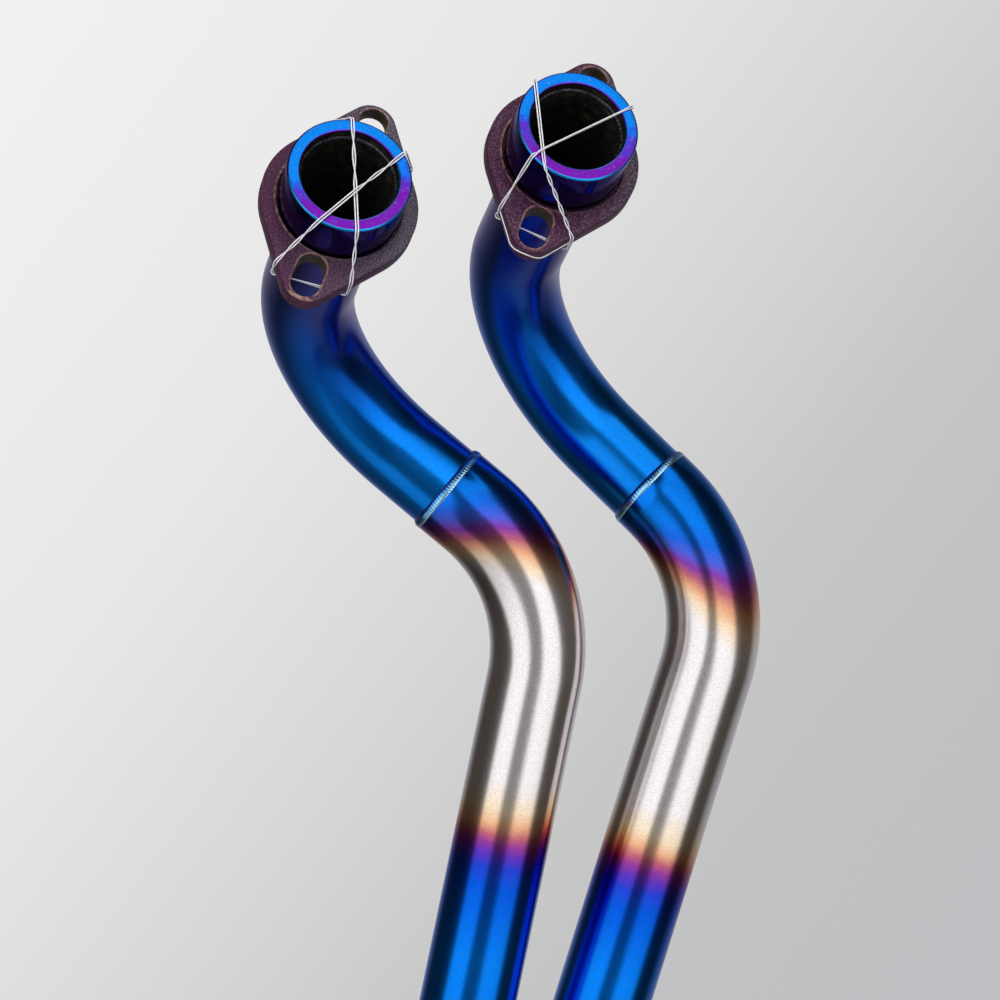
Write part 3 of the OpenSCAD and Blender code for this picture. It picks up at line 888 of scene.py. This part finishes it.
class HEADER_OT_mouths(bpy.types.Operator):
    """The two mouth rings and the bead inside each"""

    bl_idname = "header.mouths"
    bl_label = "Build the mouth rings"

    def execute(self, context):
        sizes = context.scene.header_sizes
        r, b, proud = (x / MM for x in (sizes.ring_radius, sizes.ring_bore, sizes.ring_proud))
        back, neck, sides = proud + RECESS_DEEP, r - 0.3, 144
        corners = [[b, 0.0], [r, 0.0], [r, proud], [neck, proud], [neck, back], [b, back]]
        profile = rounded_corners(corners, 0.8, 5)
        y = profile[:, 1]
        # Rows of the rounded edges at the face, which the ring's material paints with a cyan highlight lower
        # down
        rim = np.repeat(((y > 0.02) & (y < 0.9)).astype(float)[:, None], sides, 1)
        # 1 is the ring's side, 2 its bore and 0 its face
        material = np.where((y > 0.79) & (profile[:, 0] > b + 1.0), 1, np.where(y > 0.9, 2, 0))
        # The bead inside a mouth lies 0.02 mm off the bore and off the tube's end
        q, end = b - 0.02, proud - TUBE_START - 0.02
        bead = [[q, end], [q, end - 1.4], [q - 0.77, end - 1.12], [q - 1.19, end - 0.56], [q - 1.33, end]]
        for side, tilt in (("a", 0.16), ("b", -0.06)):
            centre = PORTS[side] / MM + np.array([0, -proud, 0])
            points = lathe_skin(centre, FACING, profile[:, 0], y, sides)
            z = (points[..., 2] - centre[2]) / r
            x = (points[..., 0] - centre[0]) / r
            low = np.clip(0.42 + 0.41 * x - 0.91 * z + tilt * (0.95 * x + 0.32 * z), 0, 1)
            obj = skin_piece("Mouth_ring_" + side.upper(), points, {"low": low, "rim": rim}, material)
            finish_piece(obj, "ring", "ring_" + side, "ring", "ring_side", "bore")
            points = rippled_bead((FACING, centre), bead, 64, 0.22, 0.3, 6, 3)
            obj = skin_piece("Mouth_bead_" + side.upper(), points, sharp=80)
            finish_piece(obj, "weld", "mouth_weld_" + side, "mouth_bead")
        return {"FINISHED"}


def oval_outline(inset, steps=20):
    """Outline of the flange, in mm: two round ears and a round middle joined by straight flanks.

    A point is its round's centre plus (radius - inset)(cos a, sin a), over the range of
    a in which that round is outermost.
    """
    lean = math.degrees(math.asin((OVAL_R - EAR_R) / EAR_AT))
    parts = []
    for centre, radius, start, stop in (
            (0, OVAL_R, -lean, lean), (EAR_AT, EAR_R, lean, 180 - lean),
            (0, OVAL_R, 180 - lean, 180 + lean), (-EAR_AT, EAR_R, 180 + lean, 360 - lean)):
        a = np.radians(np.linspace(start, stop, steps))
        parts.append(np.stack([(radius - inset) * np.cos(a), centre + (radius - inset) * np.sin(a)], -1))
    return np.concatenate(parts)


def slot_outline(centre, grow, steps=14):
    """Outline of a stud slot, in mm: two half rounds with straight sides between."""
    top = np.radians(np.linspace(0, 180, steps))
    low = np.radians(np.linspace(180, 360, steps))
    r = SLOT_R + grow
    return np.concatenate([np.stack([r * np.cos(top), centre + SLOT_HALF + r * np.sin(top)], -1),
                           np.stack([r * np.cos(low), centre - SLOT_HALF + r * np.sin(low)], -1)])


def round_outline(radius, sides=96):
    """A round outline in mm."""
    a = np.linspace(0, 2 * math.pi, sides, endpoint=False)
    return np.stack([radius * np.cos(a), radius * np.sin(a)], -1)


def plate_skin(thick):
    """Points and faces of the flange plate, in mm, with its depth along y.

    Each wall is a stack of outlines with a rounded edge at either face. The front and
    back faces are filled between the outermost and the hole outlines.
    """
    insets = (0.6, 0.176, 0.0)

    def wall(outline, share):
        """Outlines and depths from front to back, with share of the full round at both faces."""
        front = [(outline(share * inset), share * depth) for inset, depth in zip(insets, insets[::-1])]
        return front + [(line, thick - depth) for line, depth in front[::-1]]

    bore = [(RECESS_R + 0.5, 0.0), (RECESS_R + 0.35, 0.06), (RECESS_R + 0.06, 0.4), (RECESS_R, 0.6),
            (RECESS_R, RECESS_DEEP - 0.2), (RECESS_R - 0.1, RECESS_DEEP), (BORE_R + 0.25, RECESS_DEEP),
            (BORE_R, RECESS_DEEP + 0.2), (BORE_R, thick - 0.5), (BORE_R + 0.15, thick - 0.15),
            (BORE_R + 0.5, thick)]
    stacks = [wall(oval_outline, 1.0), [(round_outline(r), d) for r, d in bore]]
    for centre in (SLOT_AT, -SLOT_AT):
        stacks.append(wall(lambda grow, at=centre: slot_outline(at, grow), 0.7))
    points, faces, rims, start = [], [], [], 0
    for k, stack in enumerate(stacks):
        n = len(stack[0][0])
        block = np.stack([np.column_stack([line[:, 0], np.full(n, d), line[:, 1]]) for line, d in stack])
        i, j = np.meshgrid(np.arange(len(stack) - 1), np.arange(n), indexing="ij")
        a, b = start + i * n + j, start + (i + 1) * n + j
        c, d = start + (i + 1) * n + (j + 1) % n, start + i * n + (j + 1) % n
        quads = np.stack([a, b, c, d] if k == 0 else [d, c, b, a], -1).reshape(-1, 4)
        points.append(block.reshape(-1, 3))
        faces += quads.tolist()
        rims.append((start, start + (len(stack) - 1) * n, n))
        start += len(stack) * n
    points = np.concatenate(points)
    for which in (0, 1):
        lists = [[Vector((*points[r[which] + q][[0, 2]], 0)) for q in range(r[2])] for r in rims]
        index = np.concatenate([np.arange(r[which], r[which] + r[2]) for r in rims])
        fill = index[np.array(tessellate_polygon(lists))]
        p = points[fill]
        facing = np.cross(p[:, 1] - p[:, 0], p[:, 2] - p[:, 0])[:, 1]
        wrong = facing > 0 if which == 0 else facing < 0
        fill[wrong] = fill[wrong][:, ::-1]
        faces += fill.tolist()
    return points, faces


class HEADER_OT_flanges(bpy.types.Operator):
    """The two loose slotted flanges"""

    bl_idname = "header.flanges"
    bl_label = "Build the flanges"

    def execute(self, context):
        thick = context.scene.header_sizes.flange_thickness / MM
        points, faces = plate_skin(thick)
        x, y, z = points.T
        beyond = np.maximum(np.abs(np.abs(z) - SLOT_AT) - SLOT_HALF, 0)
        off_slot = np.hypot(x, beyond) - SLOT_R
        # The plate's outer edge is browner than its front
        outer_edge = (np.abs(y - thick / 2) < thick / 2 - 0.3) & (off_slot > 1) & (np.hypot(x, z) > 27)
        for side, shift in (("a", 0.30), ("b", -0.25)):
            grey = np.clip(shift + 0.75 * (0.92 * x + 0.31 * z) / 31 + 0.15, 0, 1) - 0.6 * outer_edge
            rubbed = np.full(len(x), float(side == "a"))
            place = points + PORTS[side] / MM + np.array([0, HANG[side], 0])
            obj = mesh_piece("Flange_plate_" + side.upper(), place * MM, faces,
                             {"across": x, "along": z, "depth": y, "grey": grey, "rubbed": rubbed}, sharp=32)
            finish_piece(obj, "flange", "flange_" + side, "flange")
        return {"FINISHED"}


class HEADER_OT_joint_beads(bpy.types.Operator):
    """The rippled weld bead round each slip joint"""

    bl_idname = "header.joint_beads"
    bl_label = "Build the joint beads"

    def execute(self, context):
        sizes = context.scene.header_sizes
        r, leg = sizes.upper_radius / MM + 0.03, sizes.bead_leg / MM
        rise = (sizes.lower_radius - sizes.upper_radius) / MM
        corners = [[r, 0.35], [r + rise + 0.03, 0.3], [r + rise + 0.08, -0.5],
                   [r + rise * 0.8, -leg * 0.65], [r + 0.25, -leg], [r, -leg]]
        for side, depth, count in (("a", 0.24, 92), ("b", 0.12, 84)):
            state = joint_state(side)
            points = rippled_bead(state, corners, count, depth, 0.45)
            # Near nought over the crown by the lower tube, where the bead's material paints its cyan-white
            # highlight, and 1 at the upper tube
            across = np.clip(-(points - state[1]) @ state[0][:, 2] / leg, 0, 1)
            obj = skin_piece("Joint_bead_" + side.upper(), points, {"across": across}, sharp=80)
            finish_piece(obj, "weld", "lap_weld_" + side, "bead")
        return {"FINISHED"}


class HEADER_OT_lashings(bpy.types.Operator):
    """The twisted cord that lashes each flange to its mouth"""

    bl_idname = "header.lashings"
    bl_label = "Build the lashing cords"

    def execute(self, context):
        sizes = context.scene.header_sizes
        for side in PORTS:
            path, corner = lashing_path(side, sizes)
            skins = strand_skins(path, side, np.interp(corner, *TWISTS[side]))
            if side == "b":
                skins.append(ear_strand_skin(side, sizes.flange_thickness / MM))
            starts = np.cumsum([0] + [skin[..., 0].size for skin in skins])
            points = np.concatenate([skin.reshape(-1, 3) for skin in skins])
            faces = np.concatenate([skin_faces(skin) + start for skin, start in zip(skins, starts)])
            obj = mesh_piece("Lashing_cord_" + side.upper(), points * MM, faces, sharp=80)
            finish_piece(obj, "cord", "tie_" + side, "cord")
        return {"FINISHED"}


class HEADER_OT_collector(bpy.types.Operator):
    """Finishes of the collector, its beads and the outlet, which keep their CAD meshes"""

    bl_idname = "header.collector"
    bl_label = "Finish the collector"

    def execute(self, context):
        for node in ("collector", "outlet_tube", "collector_weld_a", "collector_weld_b", "outlet_weld"):
            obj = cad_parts[node]
            obj.data.materials.clear()
            obj.data.materials.append(finish_named("bead" if "weld" in node else "collector"))
        return {"FINISHED"}


class HEADER_PT_panel(bpy.types.Panel):
    """Lists the header's sizes, finishes and builders"""

    bl_idname = "HEADER_PT_panel"
    bl_label = "Twin exhaust header"
    bl_space_type = "VIEW_3D"
    bl_region_type = "UI"
    bl_category = "Header"

    def draw(self, context):
        layout = self.layout
        scene = context.scene
        for group in (scene.header_sizes, scene.header_finish, scene.studio_settings):
            box = layout.box()
            for key in group.__annotations__:
                box.prop(group, key)
        for operator in OPERATORS:
            layout.operator(operator.bl_idname)


GROUPS = (HeaderSizes, HeaderFinish, StudioSettings)
OPERATORS = (HEADER_OT_studio, HEADER_OT_runner_tubes, HEADER_OT_mouths, HEADER_OT_flanges,
             HEADER_OT_joint_beads, HEADER_OT_lashings, HEADER_OT_collector)


def register():
    for cls in (*GROUPS, *OPERATORS, HEADER_PT_panel):
        bpy.utils.register_class(cls)
    bpy.types.Scene.header_sizes = PointerProperty(type=HeaderSizes)
    bpy.types.Scene.header_finish = PointerProperty(type=HeaderFinish)
    bpy.types.Scene.studio_settings = PointerProperty(type=StudioSettings)


def unregister():
    del bpy.types.Scene.studio_settings
    del bpy.types.Scene.header_finish
    del bpy.types.Scene.header_sizes
    for cls in reversed((*GROUPS, *OPERATORS, HEADER_PT_panel)):
        bpy.utils.unregister_class(cls)


def main():
    register()
    bpy.ops.header.studio()
    bpy.ops.header.runner_tubes()
    bpy.ops.header.mouths()
    bpy.ops.header.flanges()
    bpy.ops.header.joint_beads()
    bpy.ops.header.lashings()
    bpy.ops.header.collector()


if __name__ == "__main__":
    main()
